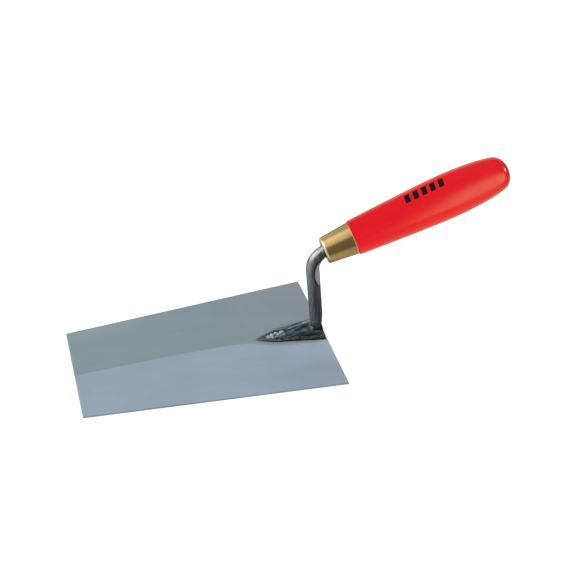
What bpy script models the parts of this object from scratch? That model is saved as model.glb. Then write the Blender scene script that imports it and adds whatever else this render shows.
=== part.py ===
"""Plasterer's trowel: a flat tapered steel blade, a forged swan neck, a brass ferrule and a turned handle.

Frame: metres, +Z up. The origin is the centre of the blade's flat underside. The blade lies in the XY plane,
its narrow front edge at -X and its wide heel edge at +X. The object is symmetric about the plane Y = 0.
"""

import math

import bmesh
import bpy
from mathutils import Vector

MM = 0.001
GAP = 0.3 * MM  # clearance between curved neighbours
REST_GAP = 0.1 * MM  # clearance between flat faces that rest on each other

# Blade: a trapezoid whose two top facets fall from a lengthwise ridge to a thin edge.
BLADE_LENGTH = 200 * MM
FRONT_WIDTH = 95 * MM
HEEL_WIDTH = 130 * MM
EDGE_THICKNESS = 0.9 * MM
FACET_FALL = 1 / 58  # fall of each facet per unit of width
CORNER_RADIUS = 0.6 * MM
CORNER_STEPS = 3

# Swan neck: a round bar that leans forward out of the foot, then bends back into the handle.
ROD_RADIUS = 5 * MM
ROD_FOOT_X = 95.8 * MM  # where the bar's centre line would meet the underside plane
NECK_HEIGHT = 77.6 * MM  # height of the point where the bar's and the handle's axes cross
ROD_LEAN = math.radians(6.4)
HANDLE_TILT = math.radians(19.4)
BEND_RADIUS = 16 * MM
BEND_STEPS = 10
ROD_BASE_Z = 4 * MM  # the bar's lowest section, inside the foot
FLARE_TOP_Z = 13 * MM
FLARE = 2.2 * MM  # how far the bar swells forward and sideways where it runs into the foot
FLARE_HEEL_TUCK = 1.35 * MM  # how far its back is drawn in there
FLARE_STEPS = 4
SECTION_POINTS = 24

# Tang: the square tapered end of the bar inside the handle, measured from the axes' crossing point.
TANG_SQUARE_AT = 23 * MM
TANG_SHOULDER_HALF = 4 * MM
TANG_TIP_AT = 96 * MM
TANG_TIP_HALF = 2.4 * MM
TANG_POINT = 1.5 * MM
ROUND = 2.0  # superellipse exponent of a round section
SQUARE = 7.0  # and of a square one with soft corners

# Foot: the spear-shaped pad under the bar. Stations are distances behind the spear's tip.
TIP_X = 44 * MM
NOSE_RADIUS = 54.9 * MM
NOSE_HALF_ANGLE = math.radians(31.5)
NOSE_LENGTH = 20 * MM
FLANK_END = 55.4 * MM
SEAM_WIDTH = 2.6 * MM
PAD_RIM = 2.0 * MM
PAD_TOE_HEIGHT = 3.0 * MM
PAD_HEEL_HEIGHT = 6.5 * MM
PAD_RISE_END = 46 * MM
PAD_CORNER = 1.5 * MM
PAD_STEPS = 7
DOME_STEPS = 10
DOME_EXPONENT = 2.5
WELD_TIP_HEIGHT = 0.7 * MM
WELD_STEPS = 7
SEAM_STEPS = 5
SEAM_STATIONS = ((0.0, 0.9), (0.3, 0.5), (0.65, 0.22), (1.0, 0.1))  # share of the width, share of the rim

# Ferrule: a drawn brass cup, measured along the handle axis from its front face.
FERRULE_AT = 10.3 * MM  # from the axes' crossing point
FERRULE_LENGTH = 24 * MM
FERRULE_FRONT_RADIUS = 10.35 * MM
FERRULE_REAR_RADIUS = 12.75 * MM
FERRULE_WALL = 1.0 * MM
FERRULE_HOLE_RADIUS = 6.0 * MM
LIP_RADIUS = 2.1 * MM
LIP_STEPS = 5

# Handle: a turned grip, its stations measured from the shoulder behind the ferrule.
HANDLE_LENGTH = 130 * MM
SHOULDER_RADIUS = 13.7 * MM
SHOULDER_ROUND = 0.5 * MM
BELLY_AT = 79.5 * MM
BELLY_RADIUS = 17.25 * MM
BUTT_EDGE_AT = 124 * MM
BUTT_EDGE_RADIUS = 12.5 * MM
NECK_PULL = 8 * MM  # handle lengths of the profile's curves
NECK_SLOPE = 0.066
BELLY_PULL_FRONT = 17 * MM
BELLY_PULL_REAR = 18.5 * MM
BUTT_SLOPE = 0.5
BUTT_PULL_FRONT = 5.2 * MM
BUTT_PULL_REAR = 1.3 * MM
BUTT_DOME = 8.7 * MM
LATHE_SEGMENTS = 40

SMOOTH_ANGLE = math.radians(35)


def clear_scene():
    for obj in list(bpy.data.objects):
        bpy.data.objects.remove(obj)


def principled(name, colour, metallic, roughness):
    material = bpy.data.materials.new(name)
    material.use_nodes = True
    shader = material.node_tree.nodes["Principled BSDF"]
    shader.inputs["Base Color"].default_value = (*colour, 1.0)
    shader.inputs["Metallic"].default_value = metallic
    shader.inputs["Roughness"].default_value = roughness
    material.diffuse_color = (*colour, 1.0)
    return material


def mesh_object(name, bm, material=None):
    bmesh.ops.recalc_face_normals(bm, faces=bm.faces)
    mesh = bpy.data.meshes.new(name)
    bm.to_mesh(mesh)
    bm.free()
    mesh.shade_smooth()
    mesh.set_sharp_from_angle(angle=SMOOTH_ANGLE)
    if material:
        mesh.materials.append(material)
    obj = bpy.data.objects.new(name, mesh)
    bpy.context.collection.objects.link(obj)
    return obj


def as_form(obj):
    """Marks a shape that only another object's Boolean uses."""
    obj.hide_render = True
    obj.display_type = "WIRE"
    return obj


def add_boolean(obj, other, operation):
    modifier = obj.modifiers.new(f"{operation.lower()} {other.name}", "BOOLEAN")
    modifier.operation = operation
    modifier.solver = "EXACT"
    modifier.object = other


def loft(rings):
    """A closed solid through rings that have the same number of points, with flat ends."""
    bm = bmesh.new()
    loops = [[bm.verts.new(point) for point in ring] for ring in rings]
    count = len(loops[0])
    for near, far in zip(loops, loops[1:]):
        for i in range(count):
            j = (i + 1) % count
            bm.faces.new((near[i], near[j], far[j], far[i]))
    bm.faces.new(loops[0])
    bm.faces.new(loops[-1])
    return bm


def lathe(profile):
    """Turns (station, radius) points about local X. Ends on the axis close the solid, others make a ring."""
    bm = bmesh.new()
    rows = []
    for station, radius in profile:
        if radius == 0:
            rows.append([bm.verts.new((station, 0, 0))] * LATHE_SEGMENTS)
            continue
        row = []
        for i in range(LATHE_SEGMENTS):
            angle = 2 * math.pi * i / LATHE_SEGMENTS
            row.append(bm.verts.new((station, radius * math.cos(angle), radius * math.sin(angle))))
        rows.append(row)
    pairs = list(zip(rows, rows[1:]))
    if profile[0][1] > 0:
        pairs.append((rows[-1], rows[0]))
    for near, far in pairs:
        for i in range(LATHE_SEGMENTS):
            j = (i + 1) % LATHE_SEGMENTS
            corners = dict.fromkeys((near[i], near[j], far[j], far[i]))
            bm.faces.new(list(corners))
    return bm


def bezier(start, pull_a, pull_b, end, steps):
    points = []
    for i in range(steps + 1):
        t = i / steps
        weights = ((1 - t) ** 3, 3 * t * (1 - t) ** 2, 3 * t * t * (1 - t), t**3)
        pairs = zip(weights, (start, pull_a, pull_b, end))
        points.append(tuple(sum(terms) for terms in zip(*((w * p[0], w * p[1]) for w, p in pairs))))
    return points


def arc(centre, radius, first, last, steps):
    points = []
    for i in range(steps + 1):
        angle = math.radians(first + (last - first) * i / steps)
        points.append((centre[0] + radius * math.cos(angle), centre[1] + radius * math.sin(angle)))
    return points


# ---------------------------------------------------------------- blade


def blade_half_width(x):
    share = x / BLADE_LENGTH + 0.5
    return (FRONT_WIDTH + (HEEL_WIDTH - FRONT_WIDTH) * share) / 2


def blade_top(x, y):
    return EDGE_THICKNESS + FACET_FALL * (blade_half_width(x) - abs(y))


def blade_side():
    """The outline on the +Y side, from the front edge's middle to the heel edge's middle."""
    half = BLADE_LENGTH / 2
    taper = math.degrees(math.atan((HEEL_WIDTH - FRONT_WIDTH) / 2 / BLADE_LENGTH))
    r = CORNER_RADIUS
    inset = r / math.cos(math.radians(taper))
    front_y = blade_half_width(r - half) - inset
    heel_y = blade_half_width(half - r) - inset
    front = arc((r - half, front_y), r, 180, 90 + taper, CORNER_STEPS)
    heel = arc((half - r, heel_y), r, 90 + taper, 0, CORNER_STEPS)
    return [(-half, 0.0), *front, *heel, (half, 0.0)]


def make_blade(material):
    side = blade_side()
    outline = side + [(x, -y) for x, y in reversed(side[1:-1])]
    bm = bmesh.new()
    low = [bm.verts.new((x, y, 0)) for x, y in outline]
    high = [bm.verts.new((x, y, blade_top(x, y))) for x, y in outline]
    count = len(outline)
    for i in range(count):
        j = (i + 1) % count
        bm.faces.new((low[i], low[j], high[j], high[i]))
    bm.faces.new(low)
    middle = len(side)
    bm.faces.new(high[:middle])
    bm.faces.new([high[0], *high[middle - 1 :]])
    return mesh_object("blade", bm, material)


# ---------------------------------------------------------------- neck


def axes_crossing():
    return Vector((ROD_FOOT_X - NECK_HEIGHT * math.tan(ROD_LEAN), 0, NECK_HEIGHT))


def direction(angle):
    return Vector((math.cos(angle), 0, math.sin(angle)))


def on_handle_axis(distance):
    return axes_crossing() + direction(HANDLE_TILT) * distance


def section(centre, angle, outer, inner, side, exponent):
    """A ring square to the path. Outer reaches to the outside of the bend, inner to its inside."""
    outward = direction(angle + math.pi / 2)
    across = Vector((0, 1, 0))
    ring = []
    for i in range(SECTION_POINTS):
        turn = 2 * math.pi * i / SECTION_POINTS
        c = math.copysign(abs(math.cos(turn)) ** (2 / exponent), math.cos(turn))
        s = math.copysign(abs(math.sin(turn)) ** (2 / exponent), math.sin(turn))
        reach = outer if c > 0 else inner
        ring.append(centre + outward * (reach * c) + across * (side * s))
    return ring


def rod_angle():
    return math.pi / 2 + ROD_LEAN


def flare_sections():
    """The bar's swollen base, from inside the foot up to its plain round section."""
    rings = []
    for i in range(FLARE_STEPS + 1):
        z = ROD_BASE_Z + (FLARE_TOP_Z - ROD_BASE_Z) * i / FLARE_STEPS
        swell = (1 - i / FLARE_STEPS) ** 2
        centre = Vector((ROD_FOOT_X - z * math.tan(ROD_LEAN), 0, z))
        outer = ROD_RADIUS + FLARE * swell
        inner = ROD_RADIUS - FLARE_HEEL_TUCK * swell
        rings.append(section(centre, math.pi / 2, outer, inner, outer, ROUND))
    return rings


def bend_sections(radius):
    turn = rod_angle() - HANDLE_TILT
    reach = BEND_RADIUS * math.tan(turn / 2)
    start = axes_crossing() - direction(rod_angle()) * reach
    hub = start - direction(rod_angle() + math.pi / 2) * BEND_RADIUS
    rings = []
    for i in range(BEND_STEPS + 1):
        angle = rod_angle() - turn * i / BEND_STEPS
        centre = hub + direction(angle + math.pi / 2) * BEND_RADIUS
        rings.append(section(centre, angle, radius, radius, radius, ROUND))
    return rings


def tang_sections(extra):
    """The taper from the round bar to the square point. Extra grows every face outwards."""
    stations = (
        (TANG_SQUARE_AT, TANG_SHOULDER_HALF, SQUARE),
        (TANG_TIP_AT - TANG_POINT, TANG_TIP_HALF, SQUARE),
        (TANG_TIP_AT + extra, TANG_TIP_HALF - TANG_POINT / 2, SQUARE),
    )
    rings = []
    for distance, half, exponent in stations:
        half += extra
        rings.append(section(on_handle_axis(distance), HANDLE_TILT, half, half, half, exponent))
    return rings


def half_width_at(station):
    """Half the width of the welded spear: a round nose that runs tangent into straight flaring flanks."""
    centre = NOSE_RADIUS * math.sin(NOSE_HALF_ANGLE)
    drop = NOSE_RADIUS * math.cos(NOSE_HALF_ANGLE)
    on_nose = min(station, NOSE_LENGTH)
    root = math.sqrt(NOSE_RADIUS**2 - (on_nose - centre) ** 2)
    slope = (centre - on_nose) / root
    return root - drop + slope * (station - on_nose)


def pad_half_width(station):
    """The forged pad inside its side seams, with rounded corners at the heel."""
    width = half_width_at(station) - SEAM_WIDTH
    into_corner = max(0, station - (FLANK_END - PAD_CORNER))
    return width - (PAD_CORNER - math.sqrt(PAD_CORNER**2 - into_corner**2))


def pad_height(station):
    share = min(1, (station - NOSE_LENGTH) / (PAD_RISE_END - NOSE_LENGTH))
    ease = share * share * (3 - 2 * share)
    return PAD_TOE_HEIGHT + (PAD_HEEL_HEIGHT - PAD_TOE_HEIGHT) * ease


def dome_section(station, half, rim, height):
    """A slice that rests on the blade's two facets, with upright rims and a crowned top."""
    x = TIP_X + station
    ring = [Vector((x, y, blade_top(x, y) + REST_GAP)) for y in (half, 0, -half)]
    for i in range(DOME_STEPS + 1):
        turn = math.pi * (1 - i / DOME_STEPS)
        c = math.copysign(abs(math.cos(turn)) ** (2 / DOME_EXPONENT), math.cos(turn))
        s = abs(math.sin(turn)) ** (2 / DOME_EXPONENT)
        y = half * c
        ring.append(Vector((x, y, blade_top(x, half) + REST_GAP + rim + (height - rim) * s)))
    return ring


def pad_form():
    corner_start = FLANK_END - PAD_CORNER
    stations = [NOSE_LENGTH + (corner_start - NOSE_LENGTH) * i / PAD_STEPS for i in range(PAD_STEPS + 1)]
    stations += [FLANK_END - PAD_CORNER * (1 - math.sin(math.radians(turn))) for turn in (30, 60)]
    rings = [dome_section(s, pad_half_width(s), PAD_RIM, pad_height(s)) for s in stations]
    return as_form(mesh_object("pad_form", loft(rings)))


def make_neck(material):
    rings = flare_sections() + bend_sections(ROD_RADIUS) + tang_sections(0)
    neck = mesh_object("neck", loft(rings), material)
    add_boolean(neck, pad_form(), "UNION")
    return neck


# ---------------------------------------------------------------- welds


def make_toe_weld(material):
    """The spear's tip, built up in weld metal in front of the pad's cut end."""
    length = NOSE_LENGTH - GAP
    rings = []
    for i in range(WELD_STEPS + 1):
        station = length * ((i + 0.35) / (WELD_STEPS + 0.35)) ** 1.5
        share = station / length
        height = WELD_TIP_HEIGHT + (PAD_TOE_HEIGHT - WELD_TIP_HEIGHT) * math.sin(share * math.pi / 2)
        rings.append(dome_section(station, half_width_at(station), height / 3, height))
    return mesh_object("toe_weld", loft(rings), material)


def make_seam_weld(name, side, material):
    """A hollow fillet along one flank of the pad. Side is +1 for +Y and -1 for -Y."""
    first = NOSE_LENGTH + GAP
    last = FLANK_END - PAD_CORNER
    rings = []
    for i in range(SEAM_STEPS + 1):
        station = first + (last - first) * i / SEAM_STEPS
        x = TIP_X + station
        outer = half_width_at(station)
        inner = outer - SEAM_WIDTH + GAP
        low = [(outer, 0), (inner, 0)]
        high = [(inner + (outer - inner) * share, PAD_RIM * rise) for share, rise in SEAM_STATIONS]
        rings.append([Vector((x, side * y, blade_top(x, y) + REST_GAP + z)) for y, z in low + high])
    return mesh_object(name, loft(rings), material)


# ---------------------------------------------------------------- ferrule and handle


def handle_frame():
    """An empty at the ferrule's front face, its local X along the handle axis."""
    empty = bpy.data.objects.new("handle_axis", None)
    empty.location = on_handle_axis(FERRULE_AT)
    empty.rotation_euler = (0, -HANDLE_TILT, 0)
    bpy.context.collection.objects.link(empty)
    return empty


def ferrule_radius(station):
    return FERRULE_FRONT_RADIUS + (FERRULE_REAR_RADIUS - FERRULE_FRONT_RADIUS) * station / FERRULE_LENGTH


def cup_profile(inset):
    """The ferrule's outer line, from its front face round the lip to its rear edge, moved inwards by inset."""
    centre = (LIP_RADIUS, ferrule_radius(LIP_RADIUS) - LIP_RADIUS)
    lip = arc(centre, LIP_RADIUS - inset, 180, 90, LIP_STEPS)
    return [*lip, (FERRULE_LENGTH, FERRULE_REAR_RADIUS - inset)]


def make_ferrule(frame, material):
    outer = cup_profile(0)
    inner = cup_profile(FERRULE_WALL)
    profile = [
        (FERRULE_WALL, FERRULE_HOLE_RADIUS),
        (0, FERRULE_HOLE_RADIUS),
        *outer,
        *reversed(inner),
    ]
    ferrule = mesh_object("ferrule", lathe(profile), material)
    ferrule.parent = frame
    return ferrule


def grip_profile():
    shoulder = FERRULE_LENGTH + REST_GAP
    neck = (shoulder, SHOULDER_RADIUS)
    neck_pull = (shoulder + NECK_PULL, SHOULDER_RADIUS + NECK_SLOPE * NECK_PULL)
    belly = (shoulder + BELLY_AT, BELLY_RADIUS)
    belly_front = (belly[0] - BELLY_PULL_FRONT, BELLY_RADIUS)
    belly_rear = (belly[0] + BELLY_PULL_REAR, BELLY_RADIUS)
    edge = (shoulder + BUTT_EDGE_AT, BUTT_EDGE_RADIUS)
    edge_front = (edge[0] - BUTT_PULL_FRONT, edge[1] + BUTT_SLOPE * BUTT_PULL_FRONT)
    edge_rear = (edge[0] + BUTT_PULL_REAR, edge[1] - BUTT_SLOPE * BUTT_PULL_REAR)
    end = shoulder + HANDLE_LENGTH
    body = bezier(neck, neck_pull, belly_front, belly, 12)
    taper = bezier(belly, belly_rear, edge_front, edge, 12)
    butt = bezier(edge, edge_rear, (end, BUTT_DOME), (end, 0.0), 9)
    rounding = arc((shoulder + SHOULDER_ROUND, SHOULDER_RADIUS - SHOULDER_ROUND), SHOULDER_ROUND, 180, 90, 2)
    return [*rounding, *body[1:], *taper[1:], *butt[1:]]


def make_handle(frame, material):
    spigot = cup_profile(FERRULE_WALL + GAP)
    spigot[-1] = (FERRULE_LENGTH + REST_GAP, spigot[-1][1])
    face = spigot[0][0]
    profile = [(face, 0.0), *spigot, *grip_profile()]
    handle = mesh_object("handle", lathe(profile), material)
    handle.parent = frame
    bore_rings = bend_sections(ROD_RADIUS + GAP)[-3:] + tang_sections(GAP)
    add_boolean(handle, as_form(mesh_object("tang_bore_form", loft(bore_rings))), "DIFFERENCE")
    return handle


def build():
    clear_scene()
    ground_steel = principled("ground_steel", (0.27, 0.33, 0.39), 1.0, 0.42)
    forged_steel = principled("forged_steel", (0.10, 0.12, 0.14), 1.0, 0.38)
    weld_metal = principled("weld_metal", (0.42, 0.43, 0.40), 1.0, 0.3)
    brass = principled("brass", (0.66, 0.50, 0.24), 1.0, 0.3)
    red_lacquer = principled("red_lacquer", (0.73, 0.012, 0.02), 0.0, 0.2)
    make_blade(ground_steel)
    make_neck(forged_steel)
    make_toe_weld(weld_metal)
    make_seam_weld("seam_weld_left", 1, weld_metal)
    make_seam_weld("seam_weld_right", -1, weld_metal)
    frame = handle_frame()
    make_ferrule(frame, brass)
    make_handle(frame, red_lacquer)


build()
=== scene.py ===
"""Looks of the plasterer's trowel: fine meshes and procedural materials in the CAD frame, on a pale floor."""

import functools
from math import atan2, cos, hypot, pi, radians, sin, sqrt, tan

import bpy
import numpy as np
from mathutils import Matrix, Vector, noise


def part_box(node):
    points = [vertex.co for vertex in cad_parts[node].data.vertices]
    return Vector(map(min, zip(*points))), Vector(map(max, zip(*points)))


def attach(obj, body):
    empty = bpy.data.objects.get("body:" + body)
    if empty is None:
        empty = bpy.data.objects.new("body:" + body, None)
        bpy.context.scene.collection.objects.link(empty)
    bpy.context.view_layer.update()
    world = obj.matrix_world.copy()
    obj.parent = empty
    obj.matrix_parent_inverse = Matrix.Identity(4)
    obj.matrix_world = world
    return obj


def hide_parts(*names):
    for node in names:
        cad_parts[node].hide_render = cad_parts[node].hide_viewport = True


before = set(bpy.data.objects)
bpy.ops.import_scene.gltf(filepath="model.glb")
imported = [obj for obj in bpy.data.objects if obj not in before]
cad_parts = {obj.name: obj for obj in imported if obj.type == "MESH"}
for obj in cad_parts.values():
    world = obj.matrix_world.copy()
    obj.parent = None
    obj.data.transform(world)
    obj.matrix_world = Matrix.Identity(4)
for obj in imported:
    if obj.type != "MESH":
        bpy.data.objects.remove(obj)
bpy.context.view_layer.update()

MM = 0.001
BODY = "root"

# Blade. The lines are points (x, y) in mm on its upper face.
RIDGE_LINE = ((-100, -3.4), (-57, -1.6), (-12, -0.5), (38, -1.4), (100, 0.0))  # crease between the facets
# The tone line parts the near facet's painted light from the far facet's painted shade.
TONE_LINE = (  # where their tones meet
    (-100, -3.4), (-57, -1.6), (-12, -0.6), (28, -1.6),
    (43, -4.6), (60, -10.6), (78, -13.4), (100, -12.2),
)
LINE_STEPS = 12
CORNER_REACH = 3 * MM  # the CAD blade's corner points lie this near its ends
RIDGE_BAND = 0.25 * MM
EDGE_ROUND = 0.12 * MM
WAVE_HEIGHT = 0.035 * MM
WAVES_PER_METRE = 17
WAVE_SEED = 3.7
BLADE_ROWS = 120
FACET_COLUMNS = 30
HEAT_REACH = 2.4 * MM  # how far the painted shade and the weld's heat tint reach round the foot

# Bar, along the CAD's own lines
ROD_RADIUS = 5.3 * MM  # the CAD's 5 mm and its coat of forging scale
ROD_FOOT_X = 95.8 * MM
ROD_LEAN = radians(6.4)
ROD_ANGLE = pi / 2 + ROD_LEAN
NECK_HEIGHT = 77.6 * MM
BEND_RADIUS = 16 * MM
BEND_THINNING = 0.5 * MM  # how much the bar's radius shrinks round the bend
LEVEL_SHARE = 2 / 3  # of the straight bar: its slices start level and are square to it from there on
HUB_SHARE = 0.2  # of the bend's radius: points nearer to its hub don't count as bent
STUB_LENGTH = 14 * MM  # how far the bar runs past the bend's corner, into the ferrule
FLARE_TOP_Z = 13 * MM
FLARE_LOW_Z = 3.5 * MM
FLARE = 2.2 * MM
HEEL_TUCK = 1.25 * MM  # how much the bar narrows on its heel side just above the foot
HEEL_TUCK_TOP_Z = 22 * MM
DIE_FLAT_DEPTH = 0.75 * MM  # the forging die leaves a flat on either side of the bar
DIE_FLAT_HEADING = radians(28)  # from +Y or -Y towards +X
DIE_FLAT_TURN_BELOW = radians(2.0) / MM
DIE_FLAT_TURN_ABOVE = radians(0.5) / MM
DIE_FLAT_STATIONS = (46.5, 60, 92)  # mm along the bar: where it starts, is widest and ends
DIE_FLAT_EDGE = 0.45 * MM  # how far outside the flat its painted shade line runs

# Foot. Stations are distances behind the spear's tip.
TIP_X = 44 * MM
NOSE_RADIUS = 54.9 * MM
NOSE_HALF_ANGLE = radians(31.5)
NOSE_LENGTH = 20 * MM
FLANK_END = 55.4 * MM
FULL_STATIONS = (8, 23, 46)  # mm: where the +Y flank's fullness starts, is widest and ends
FULL_WIDTH = 1.5 * MM
SEAM_WIDTH = 2.6 * MM
SEAM_RISE = 2.5 * MM
SEAM_RIM = 0.06 * MM
SEAM_POWER = 1.25
SEAM_START = NOSE_LENGTH - 2 * MM
SEAM_END = FLANK_END - 0.6 * MM
SEAM_ROWS = 70
SEAM_LAP = 1.45  # the seam's width with what lies under the pad's edge, as a share of its visible width
SEAM_RIPPLE = 0.12 * MM
SEAM_RIPPLE_LENGTH = 2.3 * MM
RIGHT_SEAM_SKEW = 0.02  # the -Y seam runs in at the toe and out at the heel
SEAM_PIVOT = 0.6 * FLANK_END
PAD_START = 15 * MM
PAD_TOE_HEIGHT = 3.0 * MM
PAD_HEEL_HEIGHT = 6.5 * MM
PAD_RISE_END = 46 * MM
PAD_HEEL_DROP = 0.45  # share of its height that the pad loses at its heel end
PAD_SINK = 0.2 * MM
PAD_FLANK = 0.5 * MM  # how high its flanks stand before the crown
PAD_INSET = 0.85  # share of the seam's width that the pad leaves to it
PAD_SQUARENESS = (0.55, 0.95)  # of its +Y and -Y halves; 1 is round
SINK = 0.3 * MM  # how deep the welds reach into the blade
APRON_START = 0.5 * MM
APRON_LAP = 1.5 * MM  # how far the toe weld's apron reaches under the pad's nose
APRON_TIP_HEIGHT = 0.35 * MM
APRON_HEIGHT = 1.5 * MM  # gained from the tip to the pad
APRON_RIM = 0.05 * MM
APRON_POWER = 1.4
NECK_VOXEL = 0.38 * MM
WELD_VOXEL = 0.28 * MM

# Unevenness: waves per metre, depth in metres, seed
NECK_WAVES = (130, 0.09 * MM, 5)
NECK_GRAIN = (420, 0.03 * MM, 11)
JOINT_CREASES = (330, 0.5 * MM, 23)
HAMMER_DRAG = ((120, 520, 520), 0.4 * MM, 29)
BEAD_LUMPS = (700, 0.28 * MM, 31)
BEAD_GRAIN = (1500, 0.10 * MM, 37)
SEAM_RUNS = ((220, 600, 600), 0.16 * MM, 41)

# Marks on the foot seen from above, in mm: start, end, reach at the start, reach at the end. The laps, fold
# and spatter are painted lighter, partly as a painted highlight, and the shade line is painted dark.
FAINT_LAP = ((71, 2.4), (86, 4.0), 0.7, 1.5)
STRONG_LAP = ((85, 3.5), (90.5, 4.5), 0.9, 1.4)
GROOVE = ((75.5, -1.7), (86, -0.7), 1.0, 1.4)
FOLD = ((88.3, -4.9), (90, -3.9), 0.8, 0.8)
SPATTER = ((60, -0.6), (66.5, -1.6), 3.6, 2.4)
PIT = (59.5, -1.2)  # a black flux pit beside the toe weld's lumps
LAP_HEIGHT = 0.4 * MM
JOINT_X = 95 * MM  # middle of the creased joint between bar and foot

# Toe weld: lumps of bead as (x, y, height of the middle, half length, half width, half height) in mm
# The bright lumps get a painted highlight; the dull ones do not.
BRIGHT_LUMPS = (
    (54.6, -0.1, 1.7, 2.0, 1.5, 1.0),
    (57.6, -1.2, 2.1, 1.2, 1.0, 0.9),
    (57.8, 1.3, 2.6, 1.7, 1.3, 0.9),
    (60.8, 1.5, 3.6, 1.8, 1.4, 1.1),
    (62.6, -0.9, 3.8, 1.8, 1.5, 1.0),
    (61.6, -3.0, 2.5, 1.5, 0.9, 0.9),
    (65.6, 0.9, 4.2, 2.0, 1.7, 0.8),
)
DULL_LUMPS = (
    (50.6, 0.8, 1.1, 2.4, 1.7, 0.7),
    (52.6, -1.6, 1.2, 2.0, 1.3, 0.7),
    (60.4, -3.6, 1.6, 1.5, 1.1, 0.9),
    (64.6, -3.2, 2.9, 1.5, 1.1, 0.9),
    (55.8, 3.4, 1.2, 1.7, 1.0, 0.6),
)
LUMP_FLOOR = 1.4  # mm: the height of the blade's upper face in these figures

# Ferrule and handle
GRIP_DROP = 0.15 * MM  # how much lower both hang than the CAD's
GRIP_FULLNESS = 1.010  # and how much thicker they are
GRIP_LENGTHENING = 1.0012
FERRULE_REACH = 0.3 * MM  # how far the ferrule is stretched towards the bend
FERRULE_WALL = 1.0 * MM
FERRULE_HOLE = 6.0 * MM
FERRULE_HOLE_FLARE = 0.2 * MM
FERRULE_LIP = 0.3 * MM
FERRULE_SHOULDER = 2.1 * MM
FERRULE_EDGE = 0.45 * MM
SHOULDER_ROUNDING = 1.1 * MM
SPIGOT_TIP = 7 * MM
SPIGOT_GAP = 1.6 * MM  # from the ferrule's outside to the spigot
SPIGOT_REACH = 9 * MM  # points further from the axis than this are on the handle's skin

# Handle mark: a row of plain slanted bars
MARK_START = 46.3 * MM
MARK_LENGTH = 32 * MM
MARK_BARS = 5
MARK_BAR_SHARE = 0.6  # of the pitch
MARK_ARC = 8.0 * MM
MARK_SLANT = 1.4 * MM
MARK_ANGLE = radians(98.4)  # round the handle axis, from +Y over the top
MARK_SKINS = (-0.06 * MM, 0.03 * MM)  # under and over the lacquer's face
MARK_GRID = (12, 5)  # rows and columns of each bar

# Camera
CAMERA_AZIMUTH = radians(-18.88)
CAMERA_ELEVATION = radians(38.71)
CAMERA_ROLL = radians(2.63)
CAMERA_TARGET = Vector((72.76, 10.54, 41.83)) * MM
CAMERA_DISTANCE = 774.6 * MM
CAMERA_LENS = 61.33
SENSOR_WIDTH = 36

# Light. Reflections fade from the far wall's glow to the dark room's. A soft box is its direction, the
# cosines where its glow starts and is full, and its strength.
EVEN_LIGHT = 1.1
FAR_WALL = 0.48
DARK_ROOM = 0.15
OVERHEAD_BOX = ((-0.33, -0.02, 0.94), 0.72, 0.985, 0.56)
LEFT_BOX = ((-0.92, 0.2, 0.33), 0.72, 0.95, 1.3)
PANEL_PLACE = Vector((0.395, -0.28, 0.203))
PANEL = ((0.36, 0.34), 6.2, (0.40, 1.0, 0.50))  # size, power, and the green that the red lacquer turns orange
GLINT_OFFSET = Vector((0.94, 0.03, 0.35)) * 0.6  # from the butt
GLINT_LAMP = ((0.045, 0.045), 3.6, (1.0, 0.96, 0.90))
FLOOR_REACH = 3.0
FLOOR_DROP = 0.02 * MM


# ---- node trees


def add(tree, kind, inputs=None, **settings):
    """A new shader node, with its inputs linked or set."""
    item = tree.nodes.new("ShaderNode" + kind)
    for name, value in settings.items():
        setattr(item, name, value)
    for key, value in (inputs or {}).items():
        connect(tree, value, item.inputs[key])
    return item


def connect(tree, value, socket):
    if isinstance(value, bpy.types.NodeSocket):
        tree.links.new(value, socket)
    elif isinstance(value, tuple) and len(value) == 3 and socket.type == "RGBA":
        socket.default_value = (*value, 1.0)
    else:
        socket.default_value = value


def beside(values, kind, inputs, **settings):
    """A new node in the tree of whichever value is a socket."""
    tree = next(value.id_data for value in values if isinstance(value, bpy.types.NodeSocket))
    return add(tree, kind, inputs, **settings)


def maths(operation, a, b=0.0, c=0.0):
    return beside((a, b, c), "Math", {0: a, 1: b, 2: c}, operation=operation).outputs[0]


def total(*values):
    return functools.reduce(lambda a, b: maths("ADD", a, b), values)


def product(*values):
    return functools.reduce(lambda a, b: maths("MULTIPLY", a, b), values)


def span(value, low, high, out_low=0.0, out_high=1.0):
    """Maps low..high smoothly to out_low..out_high, held at the ends."""
    inputs = {"Value": value, "From Min": low, "From Max": high, "To Min": out_low, "To Max": out_high}
    return beside([value], "MapRange", inputs, interpolation_type="SMOOTHSTEP").outputs[0]


def hump(value, low, middle, high):
    """1 at middle, falling smoothly to 0 at low and at high."""
    return product(span(value, low, middle), span(value, middle, high, 1.0, 0.0))


def mix(share, a, b):
    """Between two colours."""
    inputs = {0: share, 6: a, 7: b}
    return beside([share], "Mix", inputs, data_type="RGBA", clamp_factor=True).outputs[2]


def blend_of(share, a, b):
    """Between two plain numbers."""
    return beside([share], "Mix", {0: share, 2: a, 3: b}).outputs[0]


def scaled(vector, factor):
    """A colour or a place times a plain number."""
    return beside((vector, factor), "VectorMath", {0: vector, 3: factor}, operation="SCALE").outputs[0]


def ramp(value, *stops):
    item = beside([value], "ValToRGB", {"Fac": value})
    elements = item.color_ramp.elements
    for i, (place, colour) in enumerate(stops):
        stop = elements[i] if i < 2 else elements.new(place)
        stop.position = place
        stop.color = (*colour, 1.0)
    return item.outputs["Color"]


def fractal(place, scale, detail=2.0, roughness=0.5, distortion=0.0):
    """Smooth noise from 0 to 1. Scale may differ along each axis."""
    if isinstance(scale, tuple):
        place = beside([place], "Mapping", {"Vector": place, "Scale": scale}).outputs[0]
        scale = 1.0
    inputs = {"Vector": place, "Scale": scale, "Detail": detail}
    inputs.update({"Roughness": roughness, "Distortion": distortion})
    return beside([place], "TexNoise", inputs).outputs[0]


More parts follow.
